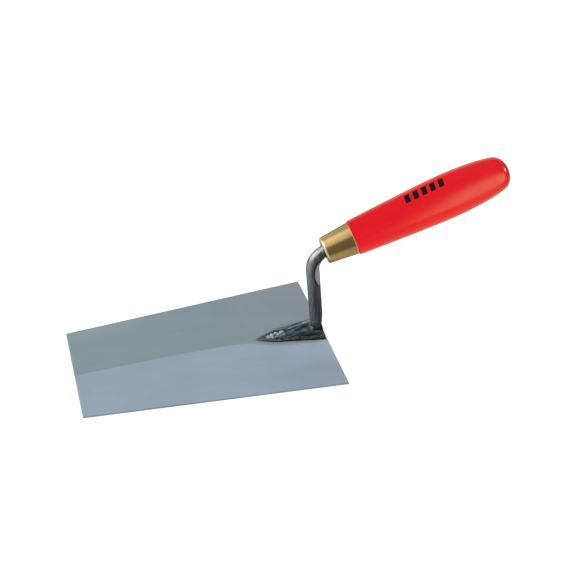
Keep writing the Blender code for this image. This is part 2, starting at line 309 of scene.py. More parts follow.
def attribute(tree, name):
    return add(tree, "Attribute", attribute_name=name).outputs["Fac"]


def axes_of(vector):
    return beside([vector], "SeparateXYZ", {0: vector}).outputs


def millimetres(place):
    """The three coordinates of a place, in mm."""
    return axes_of(scaled(place, 1 / MM))


def normal_axes(tree):
    return axes_of(add(tree, "NewGeometry").outputs["Normal"])


def turned_away(tree):
    """0 where a face looks at the viewer, 1 where it is seen edge-on."""
    return add(tree, "LayerWeight", {"Blend": 0.5}).outputs["Facing"]


def bump(height, distance, strength=1.0):
    inputs = {"Height": height, "Distance": distance, "Strength": strength}
    return beside([height], "Bump", inputs).outputs[0]


def new_material(name):
    """A material, its tree and the object's own coordinates in it."""
    material = bpy.data.materials.new(name)
    material.use_nodes = True
    tree = material.node_tree
    return material, tree, add(tree, "TexCoord").outputs["Object"]


def finished(material, values):
    tree = material.node_tree
    for name, value in values.items():
        connect(tree, value, tree.nodes["Principled BSDF"].inputs[name])
    return material


# ---- materials


def ground_steel(shape):
    """Satin ground sheet. Its near facet is painted lighter and its far facet darker, as painted light and
    shade.
    """
    material, tree, place = new_material("ground_steel")
    x, y, _ = millimetres(place)
    strokes = fractal(place, (22, 1300, 300), detail=4, roughness=0.6)
    scratches = fractal(place, (7, 520, 60), detail=2)
    clouds = fractal(place, (16, 40, 30), detail=3, roughness=0.6)
    passes = fractal(place, (30, 9, 9), detail=1)
    above = attribute(tree, "above_line")
    near = span(maths("DIVIDE", above, span(x, 30, 60, 0.14, 1.5)), 1.0, -1.0)
    # The near facet is painted lighter and the far facet darker: painted light and shade. A darker second
    # line just on the near side of the tone line is painted shade.
    far_tone = mix(span(x, 0, 100), (0.292, 0.382, 0.422), (0.326, 0.374, 0.422))
    near_tone = mix(span(x, 30, 100), (0.372, 0.464, 0.562), (0.358, 0.46, 0.562))
    second_line = product(hump(above, -2.1, -1.5, -0.9), hump(x, -45, -12, 34))
    # A painted patch of light on the near facet beside and round the foot.
    bared = product(span(x, 50, 92), hump(y, -50, -14, 28))
    worn = product(span(x, 0, -80), span(y, 30, 45))
    shade = total(
        span(strokes, 0.25, 0.75, 0.972, 1.028),
        span(scratches, 0.55, 0.72, 0.0, 0.02),
        span(clouds, 0.3, 0.7, -0.03, 0.03),
        span(passes, 0.48, 0.52, -0.008, 0.008),
        product(second_line, -0.09),
        product(bared, 0.30),
        product(worn, 0.10),
        # A painted highlight along the front edge, in its last millimetre.
        span(x, -98.6, -99.7, 0.0, 0.16),
    )
    # Darker within a millimetre of the sides and the heel: painted shade along the edges.
    half_width = maths("MULTIPLY_ADD", x, shape.taper, (shape.front + shape.heel) / 2 / MM)
    to_side = maths("SUBTRACT", half_width, maths("ABSOLUTE", y))
    to_heel = maths("SUBTRACT", shape.half_length / MM, x)
    rim = span(maths("MINIMUM", to_side, to_heel), 0.1, 0.9, 0.72, 1.0)
    tone = scaled(scaled(mix(near, far_tone, near_tone), shade), rim)
    # Dark olive round the foot: painted shade where the foot meets the blade, and the weld's heat tint.
    heat = product(attribute(tree, "near_foot"), span(clouds, 0.3, 0.7, 0.4, 0.85))
    return finished(material, {
        "Base Color": mix(heat, tone, (0.13, 0.16, 0.145)),
        "Metallic": 0.55,
        "Specular IOR Level": 0.2,
        "Roughness": total(span(strokes, 0.2, 0.8, 0.44, 0.52), span(clouds, 0.3, 0.7, 0.0, 0.05)),
        "Normal": bump(strokes, 0.010 * MM, 0.6),
    })


def forged_steel():
    """Forging scale: blue-black and streaky on the foot, satin grey up the bar, bare bright metal in places,
    with painted highlights, painted shade and a painted reflection of the sky.
    """
    material, tree, place = new_material("forged_steel")
    z = millimetres(place)[2]
    bar = span(z, 7.5, 11.5)
    drawn = fractal(place, (620, 620, 38), detail=3)
    dragged = fractal(place, (80, 560, 560), detail=4, roughness=0.62, distortion=0.3)
    pits = fractal(place, 1500, detail=3)
    foot_tone = ramp(
        dragged,
        (0.32, (0.022, 0.032, 0.044)),
        (0.50, (0.074, 0.112, 0.138)),
        (0.68, (0.23, 0.3, 0.335)),
    )
    bar_tone = ramp(
        total(product(drawn, 0.8), product(pits, 0.2)),
        (0.34, (0.075, 0.074, 0.077)),
        (0.50, (0.15, 0.147, 0.147)),
        (0.66, (0.3, 0.295, 0.29)),
    )
    # Foot faces turned towards +Y are painted teal: a painted reflection of the sky.
    shoulder = span(normal_axes(tree)[1], 0.12, 0.5)
    shoulder_tone = scaled((0.4, 0.52, 0.54), span(dragged, 0.3, 0.7, 0.7, 1.2))
    tone = mix(bar, mix(shoulder, foot_tone, shoulder_tone), bar_tone)
    streak = span(drawn, 0.34, 0.66, 0.75, 1.25)
    cool = mix(bar, (0.56, 0.68, 0.74), (0.56, 0.585, 0.61))
    bright = mix(hump(z, 9, 20, 52), cool, (0.61, 0.58, 0.56))
    # Painted highlight on the bar's back and the foot's lap, fold and spatter, partly bare metal.
    tone = mix(attribute(tree, "rubbed"), tone, scaled(bright, streak))
    # The die flats are painted pale grey: a painted highlight.
    tone = mix(product(attribute(tree, "pressed"), 0.95), tone, scaled((0.7, 0.73, 0.745), streak))
    scale = attribute(tree, "scaled")
    # Painted shade, near black, on the steep flanks, heel end, outlines, the shade line and the flats' edges;
    # the pit is black.
    tone = mix(product(scale, 0.9), tone, (0.04, 0.03, 0.031))
    # Darker where the steel is seen edge-on, more on the bar: painted shade along the outlines.
    away = turned_away(tree)
    dimming = blend_of(bar, span(away, 0.8, 1.0, 1.0, 0.5), span(away, 0.4, 0.9, 1.0, 0.25))
    return finished(material, {
        "Base Color": scaled(tone, dimming),
        "Metallic": 1.0,
        "Roughness": total(
            span(pits, 0.2, 0.8, 0.22, 0.32),
            product(bar, 0.12),
            product(scale, 0.4),
            product(hump(z, 4, 10, 16), 0.3),
        ),
        "Normal": bump(blend_of(bar, dragged, product(drawn, 0.25)), 0.14 * MM, 0.7),
    })


def weld_metal():
    """As-laid weld: lumps with a painted highlight, painted shade in the hollows between them and along the
    outer edge, and blue or olive metal around, the blue of the far seam a painted reflection of the sky.
    """
    material, tree, place = new_material("weld_metal")
    coarse = fractal(place, 520, detail=4, roughness=0.65)
    fine = fractal(place, 2200, detail=3)
    # bead marks the bright lumps, whose pale colour is a painted highlight.
    bead = attribute(tree, "bead")
    tint = ramp(
        coarse,
        (0.32, (0.042, 0.052, 0.053)),
        (0.52, (0.112, 0.14, 0.141)),
        (0.72, (0.2, 0.24, 0.24)),
    )
    # On the far seam this blue is a painted reflection of the sky.
    blued = mix(span(coarse, 0.35, 0.65), (0.13, 0.19, 0.21), (0.29, 0.38, 0.405))
    tone = mix(attribute(tree, "blued"), tint, blued)
    tone = mix(attribute(tree, "olive"), tone, (0.19, 0.212, 0.19))
    tone = mix(bead, tone, scaled((0.74, 0.81, 0.86), span(fine, 0.38, 0.6, 0.35, 1.2)))
    # The hollows between the lumps and the weld's outer edge are darkened: painted shade.
    out_of_hollows = span(add(tree, "NewGeometry").outputs["Pointiness"], 0.43, 0.49)
    open_face = product(out_of_hollows, attribute(tree, "inside_rim"))
    return finished(material, {
        "Base Color": scaled(tone, maths("MULTIPLY_ADD", open_face, 0.85, 0.15)),
        "Metallic": 1.0,
        "Roughness": total(span(fine, 0.2, 0.8, 0.18, 0.34), product(bead, 0.06)),
        "Normal": bump(total(coarse, product(fine, 0.4)), 0.1 * MM, 0.6),
    })


def brass(length):
    """Drawn sheet brass, polished in the lathe: fine rings round it, tarnished clouds, a band of painted
    shade, a painted highlight on the upper part of the lip, and a thin smear of lacquer along its rear edge."""
    material, tree, place = new_material("brass")
    rings = fractal(place, (4200, 40, 40), detail=2)
    clouds = fractal(place, 160, detail=4, roughness=0.6)
    specks = fractal(place, 900, detail=3)
    x = millimetres(place)[0]
    # Random tarnish clouds, and a band of painted shade from 9 mm back.
    tarnish = total(span(clouds, 0.4, 0.75, 0.0, 0.3), span(x, 9, 20, 0.0, 0.30))
    tone = mix(tarnish, (0.86, 0.608, 0.252), (0.56, 0.405, 0.17))
    tone = scaled(tone, product(span(rings, 0.2, 0.8, 0.95, 1.04), span(specks, 0.3, 0.7, 0.97, 1.03)))
    # A pale, less metallic colour on the upper part of the front lip: a painted highlight.
    burnished = product(span(x, 0.5, 2.0, 1.0, 0.0), span(normal_axes(tree)[2], -0.5, 0.0))
    tone = mix(product(burnished, 0.9), tone, (0.98, 0.88, 0.56))
    smear = span(x, length / MM - 1.35, length / MM - 0.6)
    return finished(material, {
        "Base Color": mix(smear, tone, (0.9, 0.27, 0.15)),
        "Metallic": maths("MULTIPLY_ADD", total(smear, product(burnished, 0.6)), -0.6, 1.0),
        "Roughness": total(span(clouds, 0.3, 0.7, 0.16, 0.22), product(smear, 0.2)),
        "Normal": bump(rings, 0.003 * MM, 0.4),
    })


def red_lacquer(length):
    """Thick red lacquer over turned beech. The grain telegraphs faintly through it, its underside and outline
    are painted more orange as painted reflections, its butt's end is painted darker as shade, and it is dull
    over the top and at the far side of the end."""
    material, tree, place = new_material("red_lacquer")
    grain = fractal(place, (24, 420, 420), detail=4, distortion=0.6)
    flow = fractal(place, (90, 160, 160), detail=2)
    dust = fractal(place, 1600, detail=2)
    x = millimetres(place)[0]
    to_end = maths("SUBTRACT", length / MM, x)
    _, leftward, upward = normal_axes(tree)
    away = turned_away(tree)
    tone = mix(span(grain, 0.3, 0.7), (0.662, 0.0045, 0.012), (0.7, 0.006, 0.0145))
    tone = scaled(tone, span(flow, 0.3, 0.7, 0.985, 1.015))
    # More orange where it faces down: a painted reflection of the floor.
    tone = mix(span(upward, 0.2, -0.5), tone, (0.7, 0.036, 0.022))
    # Paler and more orange towards the outline, seen edge-on: a painted reflection.
    rim_tone = mix(span(upward, -0.3, 0.4), (0.69, 0.13, 0.06), (0.72, 0.25, 0.15))
    tone = mix(span(away, 0.42, 1.0), tone, rim_tone)
    over_top = product(span(away, 0.35, 0.55), span(leftward, 0.35, 0.0), span(upward, 0.1, 0.4))
    far_end = product(span(leftward, 0.4, 0.65), span(to_end, 24, 12))
    gloss = maths("SUBTRACT", 1.0, maths("MAXIMUM", over_top, far_end))
    return finished(material, {
        # Darker over the butt's last few millimetres: painted shade.
        "Base Color": mix(product(span(to_end, 6, 2), 0.85), tone, (0.26, 0.001, 0.008)),
        "Roughness": total(
            span(x, 60, 140, 0.28, 0.40),
            span(to_end, 16, 6, 0.0, -0.18),
            span(dust, 0.3, 0.8, 0.0, 0.05),
        ),
        "IOR": 1.18,
        "Specular IOR Level": product(gloss, span(to_end, 5, 2, 0.5, 0.12)),
        "Normal": bump(total(flow, product(grain, 0.35)), 0.02 * MM, 0.5),
    })


def black_ink():
    """Screen-printed ink, a little worn."""
    material, tree, place = new_material("black_ink")
    patch = fractal(place, 900, detail=3)
    tone = mix(span(patch, 0.4, 0.8), (0.005, 0.003, 0.005), (0.03, 0.003, 0.006))
    return finished(material, {"Base Color": tone, "Roughness": 0.5, "IOR": 1.2})


def pale_floor():
    """A white sweep. Reflections see it duller, and duller still in the object's own shade."""
    material, tree, place = new_material("pale_floor")
    finished(material, {
        "Base Color": (0.98, 0.98, 0.98),
        "Roughness": 1.0,
        "Specular IOR Level": 0.0,
        "Emission Color": (1.0, 1.0, 1.0),
        "Emission Strength": 0.2,
    })
    x, y, _ = millimetres(place)
    from_neck = maths("SUBTRACT", x, ROD_FOOT_X / MM)
    distance = maths("SQRT", total(product(from_neck, from_neck), product(y, y)))
    glow = product(span(distance, 15, 60, 0.12, 0.41), span(distance, 90, 400, 1.0, 0.36))
    dull = add(tree, "Emission", {"Color": (1.0, 0.97, 0.92), "Strength": glow})
    seen = mirrored_choice(tree, tree.nodes["Principled BSDF"], dull)
    tree.links.new(seen, tree.nodes["Material Output"].inputs["Surface"])
    material.cycles.emission_sampling = "NONE"
    return material


def mirrored_choice(tree, seen, mirrored):
    """One shader for what is seen straight, another for what shiny surfaces reflect."""
    share = add(tree, "LightPath").outputs["Is Glossy Ray"]
    return add(tree, "MixShader", {0: share, 1: seen.outputs[0], 2: mirrored.outputs[0]}).outputs[0]


# ---- meshes


def mesh_piece(name, points, faces, material, sharp_angle=40, matrix=None):
    mesh = bpy.data.meshes.new(name)
    mesh.from_pydata([tuple(p) for p in points], [], [tuple(f) for f in faces])
    mesh.validate()
    mesh.update()
    mesh.shade_smooth()
    mesh.set_sharp_from_angle(angle=radians(sharp_angle))
    if material:
        mesh.materials.append(material)
    obj = bpy.data.objects.new(name, mesh)
    bpy.context.scene.collection.objects.link(obj)
    if matrix:
        obj.matrix_world = matrix
    return obj


def set_attributes(obj, **values):
    """Gives the mesh's points numbers that its material reads by name."""
    for name, value in values.items():
        layer = obj.data.attributes.new(name, "FLOAT", "POINT")
        layer.data.foreach_set("value", np.full(len(layer.data), value, np.float32))


def show_as(obj, node):
    """Shows the piece in place of a CAD node: hangs it on the body and hides the node."""
    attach(obj, BODY)
    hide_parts(node)


def loft(rings):
    """Points and outward faces of a closed solid through equal rings."""
    count = len(rings[0])
    points = [p for ring in rings for p in ring]
    faces = []
    for row in range(len(rings) - 1):
        for i in range(count):
            j = (i + 1) % count
            a, b = row * count, (row + 1) * count
            faces.append((a + i, b + i, b + j, a + j))
    faces.append(tuple(range(count)))
    last = (len(rings) - 1) * count
    faces.append(tuple(last + i for i in reversed(range(count))))
    return points, faces


def joined(parts):
    """The points and faces of several solids as one mesh's."""
    points, faces = [], []
    for part_points, part_faces in parts:
        faces += [tuple(len(points) + i for i in face) for face in part_faces]
        points += part_points
    return points, faces


def numbers(collection, name, width, kind=float):
    """One row of numbers for each item of a mesh's collection."""
    values = np.zeros(len(collection) * width, kind)
    collection.foreach_get(name, values)
    return values.reshape(-1, width)


def world_points(node):
    """The CAD node's distinct corner points, one row each."""
    points = numbers(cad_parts[node].data.vertices, "co", 3)
    return np.unique(points.round(7), axis=0)


def smooth_line(points, steps, end=None):
    """A Catmull-Rom curve through points, with that many steps between neighbours."""
    points = np.asarray(points, float)
    first = 2 * points[0] - points[1]
    last = 2 * points[-1] - points[-2] if end is None else np.asarray(end, float)
    chain = np.vstack([first, points, last])
    line = []
    for i in range(len(points) - 1):
        a, b, c, d = chain[i : i + 4]
        bow = 2 * a - 5 * b + 4 * c - d
        twist = 3 * b - 3 * c + d - a
        for k in range(steps):
            t = k / steps
            line.append(0.5 * (2 * b + (c - a) * t + bow * t**2 + twist * t**3))
    line.append(points[-1])
    return np.array(line)


def graded(low, high, count):
    """Places from low to high, close together at both ends."""
    return low + (high - low) * (1 - np.cos(np.linspace(0, pi, count))) / 2


def smooth_step(value, low, high):
    t = np.clip((value - low) / (high - low), 0, 1)
    return t * t * (3 - 2 * t)


def rise(value, low, high):
    """0 below low mm, 1 above high mm."""
    return smooth_step(value, low * MM, high * MM)


def fall(value, low, high):
    return 1 - rise(value, low, high)


def swell(value, low, middle, high):
    """1 at middle mm, falling smoothly to 0 at low and at high mm."""
    return rise(value, low, middle) * fall(value, middle, high)


# ---- blade

class BladeShape:
    """The blade's outline and heights, read from the CAD blade."""

    def __init__(self):
        low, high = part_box("blade")
        x, y, z = world_points("blade").T
        self.half_length = high.x
        self.front = np.abs(y[x < low.x + CORNER_REACH]).max()
        self.heel = np.abs(y[x > high.x - CORNER_REACH]).max()
        self.edge = z[(z > 0) & (np.abs(y) > self.front / 2)].min()
        self.steepness = (high.z - self.edge) / self.heel
        self.taper = (self.heel - self.front) / 2 / self.half_length
        self.ridge_line = smooth_line(np.array(RIDGE_LINE) * MM, LINE_STEPS)
        self.tone_line = smooth_line(np.array(TONE_LINE) * MM, LINE_STEPS)

    def half_width(self, x):
        return (self.front + self.heel) / 2 + self.taper * x

    def ridge(self, x):
        return float(np.interp(x, *self.ridge_line.T))

    def above_line(self, x, y):
        """How far a point is towards +Y from the line where the facets' painted light and shade meet, in mm.
        """
        return (y - float(np.interp(x, *self.tone_line.T))) / MM

    def top(self, x, y):
        """Height of the upper face: two facets falling from the ridge, with a thin sheet's slight waves."""
        half = self.half_width(x)
        ridge = self.ridge(x)
        reach = half - ridge if y > ridge else half + ridge
        share = min(1.0, max(0.0, abs(y - ridge) - RIDGE_BAND) / (reach - RIDGE_BAND))
        crest = self.steepness * half
        wave = noise.noise(Vector((x * WAVES_PER_METRE, y * WAVES_PER_METRE, WAVE_SEED)))
        return self.edge + crest * (1 - share) + WAVE_HEIGHT * wave * (1 - share**4)


def blade_ring(shape, x, inset):
    """One crosswise slice. Inset draws the slice in, which rounds the blade's ends."""
    half = shape.half_width(x) - inset
    ridge = shape.ridge(x)
    near = graded(-half + EDGE_ROUND, ridge - RIDGE_BAND, FACET_COLUMNS)
    far = graded(ridge + RIDGE_BAND, half - EDGE_ROUND, FACET_COLUMNS)
    low, high = EDGE_ROUND + inset, shape.edge - EDGE_ROUND - inset
    ring = [(x, -half + EDGE_ROUND, inset), (x, -half, low), (x, -half, high)]
    ring += [(x, y, shape.top(x, y) - inset) for y in (*near, *far)]
    ring += [(x, half, high), (x, half, low), (x, half - EDGE_ROUND, inset)]
    return ring


def make_blade():
    shape = BladeShape()
    end = shape.half_length
    rings = [blade_ring(shape, -end, EDGE_ROUND)]
    rings += [blade_ring(shape, x, 0.0) for x in graded(-end + EDGE_ROUND, end - EDGE_ROUND, BLADE_ROWS)]
    rings.append(blade_ring(shape, end, EDGE_ROUND))
    points, faces = loft(rings)
    blade = mesh_piece("blade_sheet", points, faces, ground_steel(shape), 30)
    set_attributes(
        blade,
        above_line=[shape.above_line(x, y) for x, y, _ in points],
        near_foot=[foot_glow(x, y) for x, y, _ in points],
    )
    show_as(blade, "blade")
    return shape


def foot_glow(x, y):
    """The share of painted shade and weld tint: 1 beside the foot's outline, falling to 0 a few millimetres
    away.
    """
    station = x - TIP_X
    if station < 0:
        away = hypot(station, y)
    else:
        away = max(0.0, abs(y) - half_width_at(min(station, FLANK_END), y))
    return max(0.0, 1 - away / HEAT_REACH) ** 2


# ---- neck


def direction(angle):
    return Vector((cos(angle), 0, sin(angle)))


def half_width_at(station, side):
    """The foot's half width with its welds, on +Y where side is positive: a round nose running tangent into
    straight flaring flanks. The hammer left the +Y flank fuller near the toe."""
    centre = NOSE_RADIUS * sin(NOSE_HALF_ANGLE)
    drop = NOSE_RADIUS * cos(NOSE_HALF_ANGLE)
    on_nose = min(station, NOSE_LENGTH)
    root = sqrt(NOSE_RADIUS**2 - (on_nose - centre) ** 2)
    half = root - drop + (centre - on_nose) / root * (station - on_nose)
    if side > 0:
        half += FULL_WIDTH * swell(station, *FULL_STATIONS)
    return half


def oval(centre, angle, outer, inner, side, columns=56):
    """A ring across the bar, with its own reach to the bend's outside, to its inside and sideways."""
    outward = direction(angle + pi / 2)
    ring = []
    for turn in np.arange(columns) * 2 * pi / columns:
        reach = outer if cos(turn) > 0 else inner
        ring.append(centre + outward * (reach * cos(turn)) + Vector((0, side * sin(turn), 0)))
    return ring


def bend(tilt):
    """Where the bar starts to bend, the bend's hub, its corner and the corner's distance from the start."""
    corner = Vector((ROD_FOOT_X - NECK_HEIGHT * tan(ROD_LEAN), 0, NECK_HEIGHT))
    reach = BEND_RADIUS * tan((ROD_ANGLE - tilt) / 2)
    start = corner - direction(ROD_ANGLE) * reach
    hub = start - direction(ROD_ANGLE + pi / 2) * BEND_RADIUS
    return start, hub, corner, reach


def bar_rings(tilt, rows=60, bend_rows=30):
    """The bar from inside the foot, round the bend and into the ferrule."""
    start, hub, corner, reach = bend(tilt)
    rings = []
    for z in np.linspace(FLARE_LOW_Z, start.z, rows)[:-1]:
        centre = Vector((ROD_FOOT_X - z * tan(ROD_LEAN), 0, z))
        below_flare_top = max(0.0, (FLARE_TOP_Z - z) / (FLARE_TOP_Z - FLARE_LOW_Z))
        wide = ROD_RADIUS + FLARE * below_flare_top**2
        tuck = HEEL_TUCK * (1 - smooth_step(z, FLARE_TOP_Z / 2, HEEL_TUCK_TOP_Z))
        angle = pi / 2 + ROD_LEAN * min(1.0, z / start.z / LEVEL_SHARE)
        rings.append(oval(centre, angle, wide, ROD_RADIUS - tuck, wide))
    for angle in np.linspace(ROD_ANGLE, tilt, bend_rows):
        centre = hub + direction(angle + pi / 2) * BEND_RADIUS
        radius = ROD_RADIUS - BEND_THINNING * smooth_step(ROD_ANGLE - angle, 0.0, ROD_ANGLE - tilt)
        rings.append(oval(centre, angle, radius, radius, radius))
    end = corner + direction(tilt) * (STUB_LENGTH + reach / 4)
    rings.append(oval(end, tilt, radius, radius, radius))
    return rings


def pad_rings(shape, rows=48, columns=28):
    """The flattened end of the bar: steep flanks, a crowned top and a blunt toe."""
    rings = []
    for station in np.linspace(PAD_START, FLANK_END, rows):
        x = TIP_X + station
        left = half_width_at(station, 1) - SEAM_WIDTH * PAD_INSET
        right = half_width_at(station, -1) - SEAM_WIDTH * PAD_INSET
        share = smooth_step(station, NOSE_LENGTH, PAD_RISE_END)
        height = PAD_TOE_HEIGHT + (PAD_HEEL_HEIGHT - PAD_TOE_HEIGHT) * share
        past_rise = max(0.0, (station - PAD_RISE_END) / (FLANK_END - PAD_RISE_END))
        height *= 1 - PAD_HEEL_DROP * past_rise**2
        base = shape.top(x, right)
        ring = [(x, left, base - PAD_SINK), (x, -right, base - PAD_SINK)]
        for i in range(columns + 1):
            turn = pi * (1 - i / columns)
            half, power = (left, PAD_SQUARENESS[0]) if cos(turn) > 0 else (-right, PAD_SQUARENESS[1])
            crown = (height - PAD_FLANK) * sin(turn) ** power
            ring.append((x, half * abs(cos(turn)) ** power, base + PAD_FLANK + crown))
        rings.append(ring)
    return rings


def remeshed(name, parts, voxel):
    """Points, edges and faces of one skin round several overlapping solids."""
    source = mesh_piece(name + "_source", *joined(parts), None)
    modifier = source.modifiers.new("skin", "REMESH")
    modifier.mode = "VOXEL"
    modifier.voxel_size = voxel
    bpy.context.view_layer.update()
    graph = bpy.context.evaluated_depsgraph_get()
    skin = source.evaluated_get(graph).to_mesh()
    skin_points = numbers(skin.vertices, "co", 3)
    skin_edges = numbers(skin.edges, "vertices", 2, int)
    skin_faces = [tuple(p.vertices) for p in skin.polygons]
    source.evaluated_get(graph).to_mesh_clear()
    mesh = source.data
    bpy.data.objects.remove(source)
    bpy.data.meshes.remove(mesh)
    return skin_points, skin_edges, skin_faces


def relax(points, edges, weight, rounds):
    """Moves each point towards the mean of its neighbours."""
    count = len(points)
    near, far = edges.T
    valence = np.bincount(near, minlength=count) + np.bincount(far, minlength=count)
    for _ in range(rounds):
        for axis in range(3):
            column = points[:, axis]
            sums = np.bincount(near, column[far], count) + np.bincount(far, column[near], count)
            points[:, axis] = column + weight * (sums / valence - column)
    return points


def point_normals(points, faces):
    corners = np.array([face if len(face) == 4 else (*face, face[-1]) for face in faces])
    a, b, c, d = (points[corners[:, i]] for i in range(4))
    across = np.cross(c - a, d - b)
    normals = np.zeros_like(points)
    for i in range(4):
        for axis in range(3):
            normals[:, axis] += np.bincount(corners[:, i], across[:, axis], len(points))
    return normals / np.linalg.norm(normals, axis=1)[:, None]


def rumple(points, normals, scale, depth, seed):
    """Pushes points in and out along their normals by smooth noise. Scale may differ along each axis."""
    places = points * scale + np.array((1, 2, 3)) * seed
    push = np.array([noise.noise(Vector(place)) for place in places])
    return points + normals * (push * depth)[:, None]


def bar_frame(points, tilt):
    """Each point's distance along the bar, its offset towards the inside of the bend, and that direction."""
    start, hub, _, _ = bend(tilt)
    up = np.array(direction(ROD_ANGLE))
    inward = -np.array(direction(pi + ROD_LEAN))
    along_bar = start.z + (points - np.array(start)) @ up
    offset = (points - np.array(start)) @ inward
    inwards = np.tile(inward, (len(points), 1))
    spoke = points - np.array(hub)
    spoke[:, 1] = 0
    length = np.linalg.norm(spoke, axis=1)
    turned_by = np.arctan2(spoke @ up, -(spoke @ inward))
    bent = (along_bar > start.z) & (length > HUB_SHARE * BEND_RADIUS)
    along_bar[bent] = start.z + BEND_RADIUS * turned_by[bent]
    offset[bent] = BEND_RADIUS - length[bent]
    inwards[bent] = -spoke[bent] / length[bent, None]
    return along_bar, offset, inwards


def press_flat(points, side, tilt):
    """Presses the die's flat into one side of the bar; it turns towards the inside of the bend as it climbs.
    Returns the points, how deep each went in, and 1 for those just outside the flat's front edge, where a
    shade line is painted."""
    along_bar, offset, inwards = bar_frame(points, tilt)
    sideways = points[:, 1] * side
    climb = along_bar - DIE_FLAT_STATIONS[1] * MM
    heading = DIE_FLAT_HEADING + np.maximum(climb * DIE_FLAT_TURN_ABOVE, -climb * DIE_FLAT_TURN_BELOW)
    depth = DIE_FLAT_DEPTH * swell(along_bar, *DIE_FLAT_STATIONS)
    reach = offset * np.sin(heading) + sideways * np.cos(heading)
    around = sideways * np.sin(heading) - offset * np.cos(heading)
    excess = np.where(depth > 0, np.maximum(0, reach - (ROD_RADIUS - depth)), 0)
    chord = np.sqrt(np.maximum(0, ROD_RADIUS**2 - (ROD_RADIUS - depth) ** 2))
    edge = fall(np.abs(around - chord - DIE_FLAT_EDGE), 0.2, 0.75)
    edge = edge * rise(depth, 0.1, 0.3) * (reach > 0)
    points = points - inwards * (excess * np.sin(heading))[:, None]
    points[:, 1] -= excess * np.cos(heading) * side
    return points, excess, edge


def near_segment(points, start, end, first_reach, last_reach):
    """1 on a segment seen from above, falling to 0 at a reach that changes along it. The segment is in mm."""
    start = np.array(start) * MM
    run = np.array(end) * MM - start
    share = np.clip((points[:, :2] - start) @ run / (run @ run), 0, 1)
    away = np.linalg.norm(points[:, :2] - start - np.outer(share, run), axis=1)
    reach = (first_reach + (last_reach - first_reach) * share) * MM
    return 1 - smooth_step(away / reach, 0.3, 1.0)


def from_pit(points):
    """Each point's distance from the flux pit, seen from above."""
    return np.hypot(points[:, 0] - PIT[0] * MM, points[:, 1] - PIT[1] * MM)


def lap_share(points):
    """1 on the lap the hammer left along the foot: a faint long run, and a short strong one by the bar."""
    return np.maximum(0.5 * near_segment(points, *FAINT_LAP), near_segment(points, *STRONG_LAP))


def facing_up(normals):
    return smooth_step(normals[:, 2], 0.2, 0.6)


def make_neck(shape, tilt):
    parts = [loft(bar_rings(tilt)), loft(pad_rings(shape))]
    points, edges, faces = remeshed("neck", parts, NECK_VOXEL)
    low = fall(points[:, 2], 11, 15)
    from_joint = np.hypot(points[:, 0] - JOINT_X, points[:, 1])
    joint = low * fall(from_joint, 7, 11) * rise(points[:, 2], 3, 5)
    points = relax(points, edges, 0.5, 4)
    points = relax(points, edges, 0.6 * joint, 26)
    points, near_flat, near_edge = press_flat(points, -1, tilt)
    points, far_flat, far_edge = press_flat(points, 1, tilt)
    points = hammered(points, point_normals(points, faces), joint, low)
    normals = point_normals(points, faces)
    neck = mesh_piece("neck_forging", points, faces, forged_steel(), 180)
    set_attributes(
        neck,
        # The scaled share carries the painted shade as well as the pit's black.
        scaled=np.maximum(scaled_share(points, normals), 0.8 * (near_edge + far_edge)),
        pressed=rise(near_flat + far_flat, 0.02, 0.12),
        rubbed=rubbed_share(points, normals),
    )
    show_as(neck, "neck")


def hammered(points, normals, joint, low):
    """The forged skin: waves and grain, creases round the joint, and drag marks and a lap on the foot."""
    dragging = 0.5 * fall(points[:, 2], 9, 20) * (1 - joint)
    points = rumple(points, normals, *NECK_WAVES)
    points = rumple(points, normals, *NECK_GRAIN)
    creased = rumple(points, normals, *JOINT_CREASES)
    dragged = rumple(points, normals, *HAMMER_DRAG)
    points = points + (creased - points) * joint[:, None]
    points = points + (dragged - points) * dragging[:, None]
    lap = lap_share(points) * facing_up(normals) * low
    return points + normals * (LAP_HEIGHT * lap)[:, None]


def scaled_share(points, normals):
    """1 where the steel is painted near black: painted shade on the foot's steep flanks and heel end, along a
    line on its top and on the outline of the bar's heel side, and the black of its pit."""
    x_facing, y_facing, _ = normals.T
    z = points[:, 2]
    steep = np.maximum(smooth_step(np.abs(y_facing), 0.78, 0.97), smooth_step(x_facing, 0.3, 0.6))
    groove = near_segment(points, *GROOVE) * facing_up(normals) * fall(z, 9, 11)
    pit = fall(from_pit(points), 0.5, 1.0)
    outline = smooth_step(x_facing, 0.62, 0.88) * rise(z, 11, 14) * fall(z, 40, 50)
    return np.maximum.reduce([steep * fall(z, 6, 11), 0.6 * groove, pit, 0.75 * outline])


def rubbed_share(points, normals):
    """1 where the steel is painted lighter, partly bare metal and partly a painted highlight: the bar's back,
    most at the bend, and the foot's lap, fold and spatter.
    """
    x_facing, _, z_facing = normals.T
    z = points[:, 2]
    back = smooth_step(0.6 * z_facing - x_facing, 0.2, 0.95) * rise(z, 9.5, 12.5)
    back = back * (1.0 - 0.34 * rise(z, 12, 24) + 0.29 * rise(z, 48, 64))
    fold = 0.2 * near_segment(points, *FOLD)
    spatter = 0.5 * near_segment(points, *SPATTER) * rise(from_pit(points), 0.5, 1.2)
    on_foot = np.maximum.reduce([lap_share(points), fold, spatter]) * facing_up(normals) * fall(z, 9, 12)
    return np.clip(back + 0.85 * on_foot, 0, 1)


# ---- welds


def lump(shape, x, y, z, long, wide, tall, rows=12, columns=16):
    """A flattened ball of weld metal on the blade, its sizes in mm."""
    centre = Vector((x * MM, y * MM, shape.top(x * MM, 0) + (z - LUMP_FLOOR) * MM))
    rings = []
    for row in range(1, rows):
        turn = pi * row / rows
        across = sin(turn)
        ring = []
        for column in range(columns):
            around = 2 * pi * column / columns
            sideways, upward = across * cos(around) * wide, across * sin(around) * tall
            ring.append(centre + Vector((-cos(turn) * long, sideways, upward)) * MM)
        rings.append(ring)
    return loft(rings)


